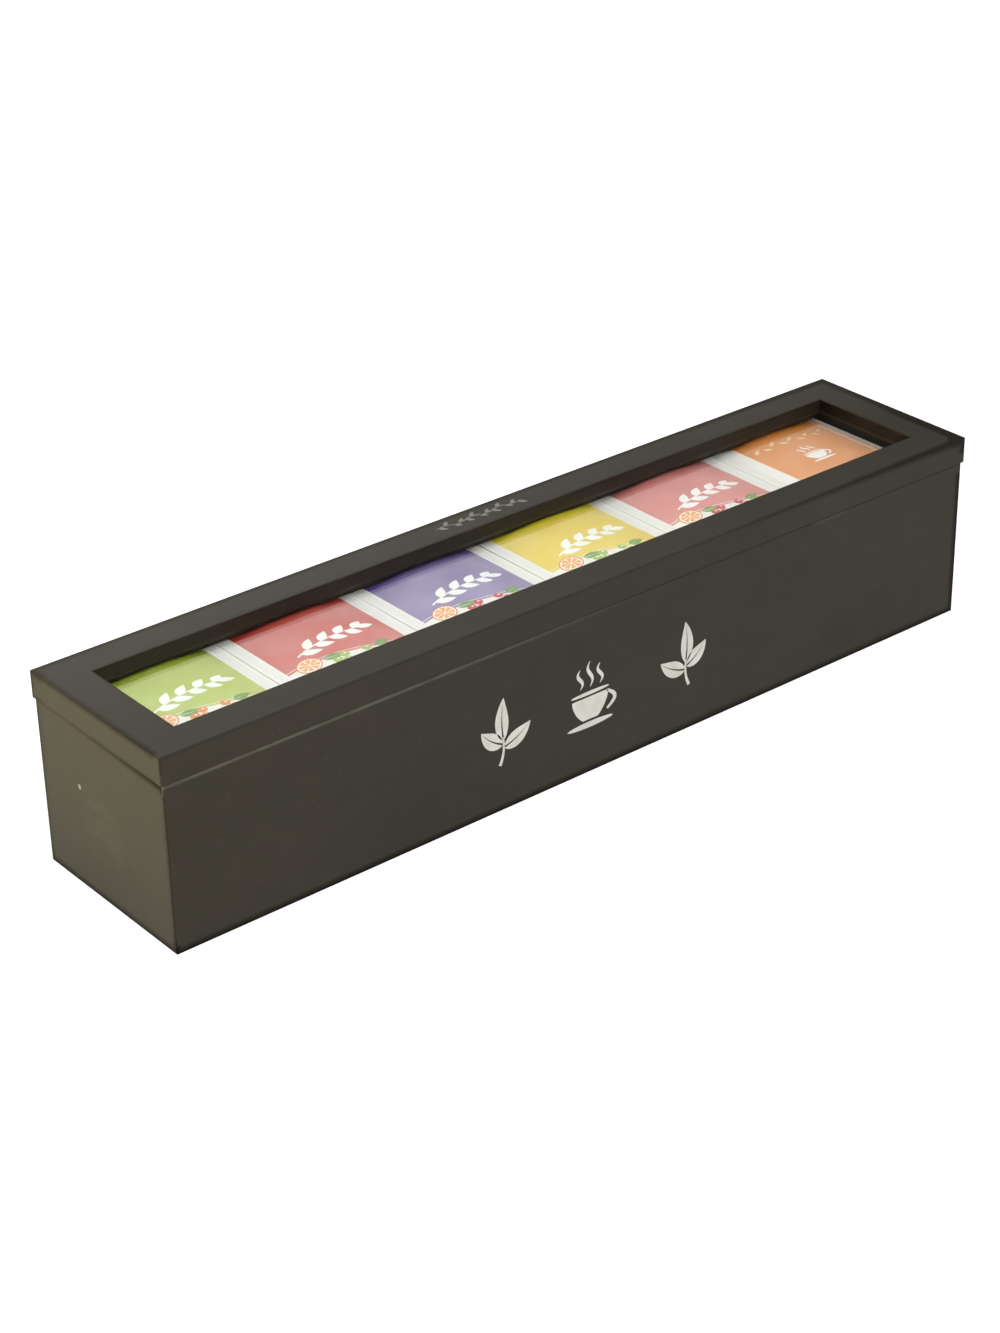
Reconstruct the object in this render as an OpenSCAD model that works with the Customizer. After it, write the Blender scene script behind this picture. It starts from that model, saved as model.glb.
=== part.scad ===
// Tea chest with six compartments in a row and a hinged, glazed lid.
// Origin: centre of the underside. +X along the length, +Y to the hinged back, +Z up.

/* [Box body] */
// Length of the body, outside
body_l = 427.6; // [300:0.2:600]
// Width of the body, outside
body_w = 89.4; // [75:0.2:130]
// Height of the body, up to the rim
body_h = 74.7; // [55:0.1:110]
// Thickness of the four walls
wall_t = 7; // [6:0.5:10]
// Thickness of the base panel
base_t = 3; // [2:0.5:6]
// Width of the rebate that the base panel seats in
base_seat = 3.5; // [2:0.5:4.5]
// Thickness of front and back wall left outside the end walls at each corner
corner_tongue = 3; // [2:0.5:4]
// Rounding of the outer edges
arris = 0.5; // [0.2:0.1:1]

/* [Compartments] */
// Number of compartments
compartments = 6; // [2:1:6]
// Thickness of the dividers
divider_t = 3; // [2:0.5:5]
// Depth of the grooves that hold the dividers
groove_depth = 2.5; // [1.5:0.5:3.5]
// Play on each side of a divider in its groove
groove_play = 0.1; // [0.05:0.05:0.3]
// Distance from the rim down to the top of the dividers
divider_drop = 8.2; // [7:0.1:20]

/* [Lid] */
// Thickness of the lid frame
lid_t = 12; // [10:0.5:20]
// Distance the lid stands out past each end of the body
end_overhang = 1.2; // [0:0.1:4]
// Distance the lid stands out past the front of the body
front_overhang = 0.6; // [0:0.1:4]
// Gap between the rim and the closed lid
seam_gap = 0.3; // [0.3:0.05:0.8]
// Width of the front and back rails
long_rail_w = 16.75; // [14:0.25:22]
// Width of the left and right rails
end_rail_w = 18; // [14:0.5:26]
// Thickness of the lip over the glass
lip_t = 5.6; // [3:0.1:6]
// Width of the rebate under the lip
rebate_w = 5.5; // [4:0.5:7]
// Rounding of the lower edges of the lid
lower_arris = 0.2; // [0.1:0.1:0.5]
// Bevel of the edge around the window
window_bevel = 0.3; // [0.1:0.1:1]
// Thickness of the glass
glass_t = 2; // [1.5:0.5:3]
// Play around the edge of the glass
glass_play = 0.5; // [0.2:0.1:1]
// Height of the beads under the glass
bead_h = 2; // [1.8:0.1:2.2]
// Width of the beads, which stay back from the edge of the lip
bead_w = 3; // [2:0.5:4]
// Rounding of the beads' free edge
bead_round = 0.8; // [0.3:0.1:0.8]

/* [Stop hinges] */
// Distance of each hinge's middle from the end of the body
hinge_inset = 79; // [50:1:100]
// Length of a hinge
hinge_l = 30; // [26:1:40]
// Thickness of the hinge sheet
leaf_t = 1; // [0.6:0.1:1.5]
// Depth of a leaf on the wood, from the back face
leaf_depth = 5.6; // [5:0.1:6]
// Diameter of the hinge pin
pin_d = 1.6; // [1.2:0.1:2]
// Radial clearance of the pin in its knuckles
pin_clear = 0.05; // [0.01:0.01:0.1]
// Thickness of the sheet rolled around the pin
knuckle_wall = 1.15; // [0.8:0.05:1.5]
// Length of the barrel, all three knuckles
barrel_l = 18; // [14:1:20]
// Gap between neighbouring knuckles, and between barrel and tails
knuckle_gap = 0.3; // [0.2:0.05:0.6]
// Gap between the barrel and the back face
barrel_off = 0.3; // [0.3:0.05:1]
// Length of the stop tails, from the pin's axis
tail_l = 5; // [4:0.5:8]
// Angle at which the tails meet and stop the lid
stop_angle = 95; // [90:1:110]
// Play between the tails at the stop, from each tail's face to the middle
stop_play = 0.1; // [0.05:0.05:0.2]
// Play around the leaves in their recesses
leaf_play = 0.1; // [0.05:0.05:0.3]

/* [Fasteners] */
// Diameter of the hinge screws
screw_d = 1.8; // [1.4:0.1:2.2]
// Diameter of the screw heads
screw_head_d = 3.4; // [3:0.1:3.8]
// Length of the hinge screws
screw_l = 9; // [6:0.5:12]
// Distance between the two screws of a leaf
screw_pitch = 20; // [16:1:22]
// Diameter of the brads in the corners and the base
brad_d = 1.2; // [1:0.1:1.6]
// Depth of the corner brads' heads under the filled and painted face
brad_set = 0.6; // [0.3:0.1:1.5]
// Length of the corner brads
corner_brad_l = 15; // [10:1:20]
// Length of the base brads
base_brad_l = 10; // [8:1:15]
// Diameter of the pins in the beads
bead_pin_d = 0.8; // [0.6:0.1:1]
// Length of the bead pins
bead_pin_l = 9; // [7:0.5:10]
// Clearance around fasteners in their holes
fastener_play = 0.02; // [0.01:0.01:0.05]

/* [Tea sachets] */
// Thickness of a sachet pressed in the stack
sachet_t = 5.3; // [3:0.1:8]
// Thickness of the top sachet, lying loose
top_sachet_t = 7; // [6:0.1:10]
// Thickness of the sealed border
border_t = 0.4; // [0.2:0.1:0.8]
// Width of the sealed border along the two long sides
border_w = 5; // [3:0.5:8]
// Width of the fold at the two ends
end_fold = 1; // [0.5:0.5:5]
// Length over which a sachet thins out to the folds at its ends
pillow_slope = 4; // [3:1:20]
// Distance by which each top sachet lies nearer to the next than the compartments do
row_close = 1.5; // [0:0.1:3]
// Gap between the top sachets in their row
sachet_gap = 0.3; // [0.3:0.1:2]
// Gap between a pressed sachet and the dividers
side_gap = 0.3; // [0.2:0.1:1]
// Gap between the ends of a sachet and the front and back walls
end_gap = 0.5; // [0.3:0.1:3]
// Gap between sachets in a stack
stack_gap = 0.1; // [0.05:0.05:0.3]
// Clear height between the top sachets and the glass
headroom = 4.4; // [4.3:0.1:12]
// Shift of the row of top sachets to the right
row_shift = 1.3; // [-2:0.1:2]

/* [Hidden] */
teas = ["green", "red", "violet", "yellow", "rose", "orange"];
tea_colours = ["yellowgreen", "indianred", "slateblue", "gold", "palevioletred", "darkorange"];
tea_numbers = [for (i = [0 : compartments - 1]) i];
divider_numbers = [for (i = [1 : compartments - 1]) i];
sides = [["left", -1], ["right", 1]];
$fn = 48;
eps = 0.01;
paint = "#403b36";
nail_steel = "#8c8c88";

// Body: inside sizes, compartments and dividers
inner_l = body_l - 2 * wall_t;
inner_w = body_w - 2 * wall_t;
compartment_w = (inner_l - (compartments - 1) * divider_t) / compartments;
compartment_pitch = compartment_w + divider_t;
divider_top = body_h - divider_drop;
rabbet_depth = wall_t - corner_tongue;
panel_l = inner_l + 2 * base_seat;
panel_w = inner_w + 2 * base_seat;

// Lid: outline, opening and the levels of lip, glass and beads
lid_l = body_l + 2 * end_overhang;
lid_w = body_w + front_overhang;
lid_y = -front_overhang / 2;
lid_z = body_h + seam_gap;
open_l = lid_l - 2 * end_rail_w;
open_w = lid_w - 2 * long_rail_w;
glass_top = lid_z + lid_t - lip_t;
glass_low = glass_top - glass_t;
bead_low = glass_low - bead_h;

// Hinges: pin axis, barrel and knuckles
back_y = body_w / 2;
half_seam = seam_gap / 2;
barrel_r = pin_d / 2 + pin_clear + knuckle_wall;
axis_off = barrel_r + barrel_off;
axis_y = back_y + axis_off;
axis_z = body_h + half_seam;
hinge_x = body_l / 2 - hinge_inset;
knuckle_l = (barrel_l - 2 * knuckle_gap) / 3;
tail_w = (hinge_l - barrel_l) / 2 - knuckle_gap;
screw_y = back_y - leaf_depth / 2;
head_h = (screw_head_d - screw_d) / 2;

// Fastener places
corner_brad_z = [for (k = [1, 3, 5]) body_h * k / 6];
base_brad_x = [for (k = [-3, -1, 1, 3]) k * panel_l / 8];
bead_pin_x = [for (k = [-3, -1, 1, 3]) k * open_l / 8];
bead_pin_y = [for (k = [-1, 1]) k * open_w / 4];
bead_pin_z = (glass_low + bead_low + bead_round) / 2;
bead_back = rebate_w - bead_w;

// Sachets: one loose on top of each stack, the rest pressed between base and top one
crest_z = glass_low - headroom;
stack_h = crest_z - top_sachet_t - stack_gap - base_t;
stack_count = round(stack_h / sachet_t);
stack_pitch = stack_h / stack_count;
pressed_w = compartment_w - 2 * side_gap;
laid_l = inner_w - 2 * end_gap;
top_pitch = compartment_pitch - row_close;
top_w = top_pitch - sachet_gap;

// ---- Shapes ----

// Points of a quarter of an edge rounding
function edge_arc(cx, cy, r, from, steps = 3) =
    [for (i = [0 : steps]) let (a = from + 90 * i / steps) [cx + r * cos(a), cy + r * sin(a)]];

// Rectangle with rounded corners, centred across, standing on its lower edge
module eased_rect(w, h, low_r, high_r) {
    polygon(concat(
        edge_arc(-w / 2 + low_r, low_r, low_r, 180),
        edge_arc(w / 2 - low_r, low_r, low_r, 270),
        edge_arc(w / 2 - high_r, h - high_r, high_r, 0),
        edge_arc(-w / 2 + high_r, h - high_r, high_r, 90)
    ));
}

// Extrusions along X and along Y of a profile whose upright is Z, centred
module along_x(length) { rotate([90, 0, 90]) linear_extrude(length, center = true) children(); }
module along_y(length) { rotate([90, 0, 0]) linear_extrude(length, center = true) children(); }

// Board block with every outer edge rounded
module eased_block(l, w, h, low_r, high_r) {
    intersection() {
        along_x(l) eased_rect(w, h, low_r, high_r);
        along_y(w) eased_rect(l, h, low_r, high_r);
        translate([0, -w / 2, 0]) linear_extrude(h) eased_rect(l, w, high_r, high_r);
    }
}

module body_block() { eased_block(body_l, body_w, body_h, arris, arris); }
module lid_block() { translate([0, 0, lid_z]) eased_block(lid_l, lid_w, lid_t, lower_arris, arris); }

// Nail: plain shank from the origin along -Z
module brad(d, length) { translate([0, 0, -length]) cylinder(h = length, d = d); }

// ---- Body ----

module base_panel() {
    color("#5b4636")
    difference() {
        translate([-panel_l / 2, -panel_w / 2, 0]) cube([panel_l, panel_w, base_t]);
        base_brad_holes();
    }
}

// Profile of a wall: outer face at 0, rebate for the base at the inner foot
module wall_profile() {
    polygon([
        [0, 0], [0, body_h], [wall_t, body_h],
        [wall_t, base_t], [wall_t - base_seat, base_t], [wall_t - base_seat, 0]
    ]);
}

// Long wall at the front: rabbets for the end walls, grooves for the dividers
module long_wall() {
    difference() {
        intersection() {
            body_block();
            translate([0, -body_w / 2, 0]) along_x(body_l) wall_profile();
        }
        for (s = [-1, 1])
            translate([s * (body_l / 2 - wall_t / 2), -body_w / 2 + corner_tongue + wall_t / 2, body_h / 2])
                cube([wall_t, wall_t, body_h + 2], center = true);
        for (i = divider_numbers)
            translate([divider_x(i) - divider_t / 2 - groove_play, -inner_w / 2 - groove_depth, base_t])
                cube([divider_t + 2 * groove_play, groove_depth + 1, body_h]);
        corner_brad_holes();
        base_brad_holes();
    }
}

module front_wall() { color(paint) long_wall(); }

module back_wall() {
    color(paint)
    difference() {
        mirror([0, 1, 0]) long_wall();
        leaf_recesses(body_h - leaf_t);
        screw_holes(-1);
    }
}

// End wall on the left: its ends seat in the rabbets of the long walls
module end_wall() {
    difference() {
        intersection() {
            body_block();
            translate([-body_l / 2, 0, 0]) along_y(inner_w + 2 * rabbet_depth) wall_profile();
        }
        corner_brad_holes();
        base_brad_holes();
    }
}

module left_end_wall() { color(paint) end_wall(); }
module right_end_wall() { color(paint) mirror([1, 0, 0]) end_wall(); }

function divider_x(i) = -inner_l / 2 + i * compartment_pitch - divider_t / 2;

module divider(i) {
    divider_l = inner_w + 2 * (groove_depth - groove_play);
    color("#3a332d")
    translate([divider_x(i) - divider_t / 2, -divider_l / 2, base_t])
        cube([divider_t, divider_l, divider_top - base_t]);
}

// ---- Brads in the body ----

module at_corner_brads() {
    for (sx = [-1, 1], sy = [-1, 1], z = corner_brad_z)
        translate([sx * (body_l - wall_t) / 2, sy * (body_w / 2 - brad_set), z])
            rotate([-90 * sy, 0, 0]) children();
}

module at_base_brads() {
    for (sy = [-1, 1], x = base_brad_x)
        translate([x, sy * (inner_w + base_seat) / 2, 0]) rotate([180, 0, 0]) children();
    for (sx = [-1, 1])
        translate([sx * (inner_l + base_seat) / 2, 0, 0]) rotate([180, 0, 0]) children();
}

module corner_brads() { color(nail_steel) at_corner_brads() brad(brad_d, corner_brad_l); }
module base_brads() { color(nail_steel) at_base_brads() brad(brad_d, base_brad_l); }

module corner_brad_holes() {
    at_corner_brads() brad(brad_d + 2 * fastener_play, corner_brad_l);
}

module base_brad_holes() {
    at_base_brads() translate([0, 0, 1]) brad(brad_d + 2 * fastener_play, base_brad_l + 1);
}

// ---- Tea sachets ----

// Envelope: a pillow between two flat sealed sides and two folded ends, centred
module sachet(w, l, t) {
    union() {
        cube([w, l, border_t], center = true);
        intersection() {
            vault(w - 2 * border_w, l, t);
            along_x(w) pillow_taper(l - 2 * end_fold, t);
        }
    }
}

// Side view of the room a pillow has: full height in the middle, down to the folds at both ends
module pillow_taper(l, t) {
    edge = border_t / 2;
    room = t / 2 + border_t;
    flat = l / 2 - pillow_slope;
    polygon([
        [-l / 2, -edge], [-flat, -room], [flat, -room], [l / 2, -edge],
        [l / 2, edge], [flat, room], [-flat, room], [-l / 2, edge]
    ]);
}

// Lens between two wide cylinders that lie along Y
module vault(span, length, t) {
    r = (pow(span / 2, 2) + pow(t / 2, 2)) / t;
    intersection() {
        vault_side(1, r, length, t);
        vault_side(-1, r, length, t);
    }
}

// Wide cylinder along Y whose crest, on side s, is half of t from the middle
module vault_side(s, r, length, t) {
    translate([0, 0, s * (t / 2 - r)]) rotate([90, 0, 0]) cylinder(h = length, r = r, center = true, $fn = 256);
}

module tea_sachets(i) {
    middle_x = -inner_l / 2 + compartment_w / 2 + i * compartment_pitch;
    top_x = row_shift + (i - (compartments - 1) / 2) * top_pitch;
    color(tea_colours[i]) {
        for (k = [0 : stack_count - 1])
            translate([middle_x, 0, base_t + stack_pitch * (k + 0.5)])
                sachet(pressed_w, laid_l, stack_pitch - stack_gap);
        translate([top_x, 0, crest_z - top_sachet_t / 2]) sachet(top_w, laid_l, top_sachet_t);
    }
}

// ---- Lid ----

// Profile of a rail: outer edge at 0, lip and rebate at the inner edge
module rail_profile(w) {
    polygon([
        [0, 0], [0, lid_t], [w - window_bevel, lid_t], [w, lid_t - window_bevel],
        [w, lid_t - lip_t], [w - rebate_w, lid_t - lip_t], [w - rebate_w, 0]
    ]);
}

// Upright prism over the front side of a frame, cut along its mitres
module front_mitre(l, w, side_w, front_w) {
    linear_extrude(lid_z + lid_t) polygon([
        [-l / 2, -w / 2], [l / 2, -w / 2], [l / 2 - side_w, -w / 2 + front_w], [-l / 2 + side_w, -w / 2 + front_w]
    ]);
}

// The same over its left side
module left_mitre(l, w, side_w, front_w) {
    linear_extrude(lid_z + lid_t) polygon([
        [-l / 2, -w / 2], [-l / 2, w / 2], [-l / 2 + side_w, w / 2 - front_w], [-l / 2 + side_w, -w / 2 + front_w]
    ]);
}

// Front rail, placed about the middle of the lid
module long_rail() {
    intersection() {
        lid_block();
        translate([0, -lid_w / 2, lid_z]) along_x(lid_l) rail_profile(long_rail_w);
        front_mitre(lid_l, lid_w, end_rail_w, long_rail_w);
    }
}

module end_rail() {
    intersection() {
        lid_block();
        translate([-lid_l / 2, 0, lid_z]) along_y(lid_w) rail_profile(end_rail_w);
        left_mitre(lid_l, lid_w, end_rail_w, long_rail_w);
    }
}

module on_lid() { translate([0, lid_y, 0]) children(); }

module lid_front_rail() {
    color(paint) difference() {
        on_lid() long_rail();
        bead_pin_holes();
    }
}

module lid_back_rail() {
    color(paint) difference() {
        on_lid() mirror([0, 1, 0]) long_rail();
        bead_pin_holes();
        leaf_recesses(lid_z - 1);
        screw_holes(1);
    }
}

module lid_left_rail() {
    color(paint) difference() {
        on_lid() end_rail();
        bead_pin_holes();
    }
}

module lid_right_rail() {
    color(paint) difference() {
        on_lid() mirror([1, 0, 0]) end_rail();
        bead_pin_holes();
    }
}

module glass_pane() {
    margin = rebate_w - glass_play;
    color("lightcyan", 0.35)
    translate([-open_l / 2 - margin, lid_y - open_w / 2 - margin, glass_low])
        cube([open_l + 2 * margin, open_w + 2 * margin, glass_t]);
}

// Profile of a bead: back edge in the rebate at 0, free lower edge rounded
module bead_profile() {
    polygon(concat(
        [[0, 0]],
        edge_arc(bead_w - bead_round, bead_round, bead_round, 270),
        [[bead_w, bead_h], [0, bead_h]]
    ));
}

module long_bead() {
    seat_l = open_l + 2 * rebate_w;
    seat_w = open_w + 2 * rebate_w;
    intersection() {
        translate([0, -seat_w / 2, bead_low]) along_x(seat_l) bead_profile();
        front_mitre(seat_l, seat_w, rebate_w, rebate_w);
    }
}

module end_bead() {
    seat_l = open_l + 2 * rebate_w;
    seat_w = open_w + 2 * rebate_w;
    intersection() {
        translate([-seat_l / 2, 0, bead_low]) along_y(seat_w) bead_profile();
        left_mitre(seat_l, seat_w, rebate_w, rebate_w);
    }
}

module pinned_bead() {
    color(paint) difference() {
        on_lid() children();
        bead_pin_holes();
    }
}

module front_bead() { pinned_bead() long_bead(); }
module back_bead() { pinned_bead() mirror([0, 1, 0]) long_bead(); }
module left_bead() { pinned_bead() end_bead(); }
module right_bead() { pinned_bead() mirror([1, 0, 0]) end_bead(); }

module at_bead_pins() {
    for (sy = [-1, 1], x = bead_pin_x)
        translate([x, lid_y + sy * (open_w / 2 + bead_back), bead_pin_z]) rotate([90 * sy, 0, 0]) children();
    for (sx = [-1, 1], y = bead_pin_y)
        translate([sx * (open_l / 2 + bead_back), lid_y + y, bead_pin_z]) rotate([0, -90 * sx, 0]) children();
}

module bead_pins() { color(nail_steel) at_bead_pins() brad(bead_pin_d, bead_pin_l); }

module bead_pin_holes() {
    at_bead_pins() translate([0, 0, 1]) brad(bead_pin_d + 2 * fastener_play, bead_pin_l + 1);
}

// ---- Stop hinges ----

// Places of the two hinges, with the origin on the pin's axis
module at_hinge(side) { translate([side * hinge_x, axis_y, axis_z]) children(); }

// Point of a tail: off beside the stop plane, k along it
half_stop = stop_angle / 2;
function tail_point(off, k) =
    [k * cos(half_stop) - off * sin(half_stop), k * sin(half_stop) + off * cos(half_stop)];
function tail_reach(off, z) = (z - off * cos(half_stop)) / sin(half_stop);

// Side view of the sheet where it runs past the pin and bends up into a stop tail
module tail_profile() {
    inner_face = stop_play;
    outer_face = stop_play + leaf_t;
    plate_low = half_seam;
    plate_high = half_seam + leaf_t;
    plate_edge = -axis_off - leaf_depth;
    polygon([
        [plate_edge, plate_low],
        tail_point(inner_face, tail_reach(inner_face, plate_low)),
        tail_point(inner_face, tail_l),
        tail_point(outer_face, tail_l),
        tail_point(outer_face, tail_reach(outer_face, plate_high)),
        [plate_edge, plate_high]
    ]);
}

// Leaf on the lid side: knuckles lists the middles of its own knuckles along X
module leaf(knuckles) {
    plate_w = leaf_depth + axis_off - barrel_r - knuckle_gap;
    difference() {
        union() {
            translate([-hinge_l / 2, -axis_off - leaf_depth, half_seam]) cube([hinge_l, plate_w, leaf_t]);
            for (s = [-1, 1]) translate([s * (hinge_l - tail_w) / 2, 0, 0]) along_x(tail_w) tail_profile();
            for (x = knuckles) translate([x - knuckle_l / 2, 0, 0]) {
                rotate([0, 90, 0]) cylinder(h = knuckle_l, r = barrel_r);
                translate([0, -axis_off - leaf_depth / 2, half_seam])
                    cube([knuckle_l, axis_off + leaf_depth / 2, leaf_t]);
            }
        }
        for (x = knuckles) translate([x - knuckle_l / 2 - eps, 0, 0]) rotate([0, 90, 0])
            cylinder(h = knuckle_l + 2 * eps, d = pin_d + 2 * pin_clear);
        for (s = [-1, 1]) translate([s * screw_pitch / 2, screw_y - axis_y, half_seam])
            rotate([180, 0, 0]) screw_hole();
    }
}

side_knuckle_x = knuckle_l + knuckle_gap;

module lid_leaf(side) { color("#9a8a63") at_hinge(side) leaf([0]); }
module box_leaf(side) {
    color("#9a8a63") at_hinge(side) mirror([0, 0, 1]) leaf([-side_knuckle_x, side_knuckle_x]);
}

module hinge_pin(side) {
    color("#b0a070") at_hinge(side) rotate([0, 90, 0]) cylinder(h = barrel_l, d = pin_d, center = true);
}

// Recesses for the leaves, one leaf thick and open at the seam, from the given level up
module leaf_recesses(z) {
    for (side = [-1, 1])
        translate([side * hinge_x - hinge_l / 2 - leaf_play, back_y - leaf_depth - leaf_play, z])
            cube([hinge_l + 2 * leaf_play, leaf_depth + leaf_play + 1, leaf_t + 1]);
}

// ---- Hinge screws ----

// Countersunk screw: head flush with the origin, shank along -Z
module screw() {
    tip_h = screw_d;
    tip_d = screw_d / 4;
    slot_w = screw_head_d / 6;
    slot_l = screw_head_d * 0.6;
    difference() {
        union() {
            translate([0, 0, -head_h]) cylinder(h = head_h, d1 = screw_d, d2 = screw_head_d);
            translate([0, 0, -screw_l + tip_h]) cylinder(h = screw_l - tip_h - head_h, d = screw_d);
            translate([0, 0, -screw_l]) cylinder(h = tip_h, d1 = tip_d, d2 = screw_d);
        }
        for (a = [0, 90]) rotate([0, 0, a])
            cube([slot_w, slot_l, head_h], center = true);
    }
}

module screw_hole() {
    translate([0, 0, -head_h])
        cylinder(h = head_h + eps, d1 = screw_d + 2 * fastener_play, d2 = screw_head_d + 2 * fastener_play);
    translate([0, 0, -screw_l - fastener_play]) cylinder(h = screw_l, d = screw_d + 2 * fastener_play);
}

// Four screw places: way is -1 for the screws in the body, 1 for those in the lid
module at_screws(way) {
    for (side = [-1, 1], s = [-1, 1])
        translate([side * hinge_x + s * screw_pitch / 2, screw_y, axis_z + way * half_seam])
            rotate([way > 0 ? 180 : 0, 0, 0]) children();
}

module screw_holes(way) { at_screws(way) screw_hole(); }
module box_leaf_screws() { color("#b0a070") at_screws(-1) screw(); }
module lid_leaf_screws() { color("#b0a070") at_screws(1) screw(); }

base_panel();
front_wall();
back_wall();
left_end_wall();
right_end_wall();
for (i = divider_numbers) divider(i);
corner_brads();
base_brads();
for (i = tea_numbers) tea_sachets(i);
for (s = sides) box_leaf(s[1]);
for (s = sides) hinge_pin(s[1]);
box_leaf_screws();
lid_front_rail();
lid_back_rail();
lid_left_rail();
lid_right_rail();
glass_pane();
front_bead();
back_bead();
left_bead();
right_bead();
bead_pins();
for (s = sides) lid_leaf(s[1]);
lid_leaf_screws();
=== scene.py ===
import math
import random

import bmesh
import bpy
from mathutils import Matrix, Vector, noise


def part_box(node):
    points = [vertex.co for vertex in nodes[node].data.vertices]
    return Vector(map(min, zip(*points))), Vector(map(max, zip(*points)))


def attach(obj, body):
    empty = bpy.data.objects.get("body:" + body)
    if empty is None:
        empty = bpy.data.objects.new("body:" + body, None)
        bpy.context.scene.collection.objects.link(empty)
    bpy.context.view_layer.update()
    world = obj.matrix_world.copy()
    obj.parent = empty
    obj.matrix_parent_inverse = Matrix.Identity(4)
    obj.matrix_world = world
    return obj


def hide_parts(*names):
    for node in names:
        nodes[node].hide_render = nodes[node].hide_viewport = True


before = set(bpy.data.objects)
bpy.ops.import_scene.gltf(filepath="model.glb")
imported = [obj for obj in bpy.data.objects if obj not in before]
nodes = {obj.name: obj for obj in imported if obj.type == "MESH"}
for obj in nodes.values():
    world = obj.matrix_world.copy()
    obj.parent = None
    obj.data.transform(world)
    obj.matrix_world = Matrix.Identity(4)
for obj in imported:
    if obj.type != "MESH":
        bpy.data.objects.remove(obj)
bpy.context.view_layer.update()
mm = 0.001


# ---- Camera ----
# A long lens to the left of the front, looking down on the lid and along the row.
camera_place = (-685.3 * mm, -827.8 * mm, 617.4 * mm)
camera_turn = (61.317, 0.989, -39.416)
lens = 77.73
sensor_width = 36
clip_start = 50 * mm

camera_data = bpy.data.cameras.new("camera")
camera_data.lens = lens
camera_data.sensor_width = sensor_width
camera_data.clip_start = clip_start
camera = bpy.data.objects.new("camera", camera_data)
camera.location = camera_place
camera.rotation_euler = [math.radians(angle) for angle in camera_turn]
bpy.context.scene.collection.objects.link(camera)
bpy.context.scene.camera = camera
bpy.context.scene.view_settings.view_transform = "Standard"


# ---- Studio ----
# A white room with a broad lamp above the front and a low warm one beyond the left end.
# A grey screen at the back on the right takes the gloss off that end of the lid.
room_light = 0.33
screen_way = (0.85, 0.45, 0.25)
screen_rim = 0.87
screen_core = 0.96
screen_grey = 0.04
floor_half = 8
floor_drop = 0.05 * mm
floor_grey = (0.8, 0.8, 0.8, 1)
floor_lift = 0.66
lift_grows_from = 0.7
lift_grows_to = 2.5
floor_mirrored = 0.20


def connect(tree, value, socket):
    if isinstance(value, bpy.types.NodeSocket):
        tree.links.new(value, socket)
    else:
        socket.default_value = value


def add_node(tree, kind, settings=None, **inputs):
    """A node with its settings, each named input set to a value or linked."""
    node = tree.nodes.new(kind)
    for key, value in (settings or {}).items():
        setattr(node, key, value)
    for key, value in inputs.items():
        connect(tree, value, node.inputs[key.replace("_", " ")])
    return node


def maths(tree, operation, *values):
    node = tree.nodes.new("ShaderNodeMath")
    node.operation = operation
    for value, socket in zip(values, node.inputs):
        connect(tree, value, socket)
    return node.outputs["Value"]


def product(tree, *values):
    result = values[0]
    for value in values[1:]:
        result = maths(tree, "MULTIPLY", result, value)
    return result


def off(tree, value, middle):
    """How far the value is from the middle one, either way."""
    return maths(tree, "ABSOLUTE", maths(tree, "SUBTRACT", value, middle))


def ramp(tree, value, start, end, low=0.0, high=1.0):
    """Low up to start, high from end on, and a straight line between."""
    limits = dict(From_Min=start, From_Max=end, To_Min=low, To_Max=high)
    return add_node(tree, "ShaderNodeMapRange", Value=value, **limits).outputs[0]


def object_place(tree):
    return add_node(tree, "ShaderNodeTexCoord").outputs["Object"]


def distance_from(tree, place, spot):
    node = add_node(tree, "ShaderNodeVectorMath", {"operation": "DISTANCE"}, Vector=place)
    node.inputs[1].default_value = spot
    return node.outputs["Value"]


world = bpy.data.worlds.new("white_room")
world.use_nodes = True
bpy.context.scene.world = world
tree = world.node_tree
background = tree.nodes["Background"]
background.inputs["Color"].default_value = (1, 1, 1, 1)
way = add_node(tree, "ShaderNodeTexCoord").outputs["Generated"]
towards = add_node(tree, "ShaderNodeVectorMath", {"operation": "DOT_PRODUCT"}, Vector=way)
towards.inputs[1].default_value = Vector(screen_way).normalized()
mirrored = ramp(tree, towards.outputs["Value"], screen_rim, screen_core, 1, screen_grey)
path = add_node(tree, "ShaderNodeLightPath").outputs
gloss = product(tree, path["Is Glossy Ray"], maths(tree, "SUBTRACT", mirrored, room_light))
looked = maths(tree, "MAXIMUM", path["Is Camera Ray"], path["Is Transmission Ray"])
strength = maths(tree, "MAXIMUM", maths(tree, "ADD", gloss, room_light), looked)
tree.links.new(strength, background.inputs["Strength"])


def area_lamp(name, place, target, size, watts, colour=(1, 1, 1)):
    data = bpy.data.lights.new(name, "AREA")
    data.shape = "RECTANGLE"
    data.size, data.size_y = size
    data.energy = watts
    data.color = colour
    lamp = bpy.data.objects.new(name, data)
    lamp.location = place
    lamp.rotation_euler = (Vector(target) - Vector(place)).to_track_quat("-Z", "Y").to_euler()
    bpy.context.scene.collection.objects.link(lamp)
    return lamp


area_lamp("key_lamp", place=(-0.50, -1.10, 1.50), target=(0, 0, 0.04), size=(1.2, 1.0), watts=20.5)
side_lamp = area_lamp(
    "side_lamp", place=(-0.85, 0.20, 0.13), target=(-0.21, 0, 2.20), size=(0.4, 0.3), watts=29,
    colour=(1.0, 0.95, 0.45),
)
side_lamp.visible_glossy = False

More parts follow.
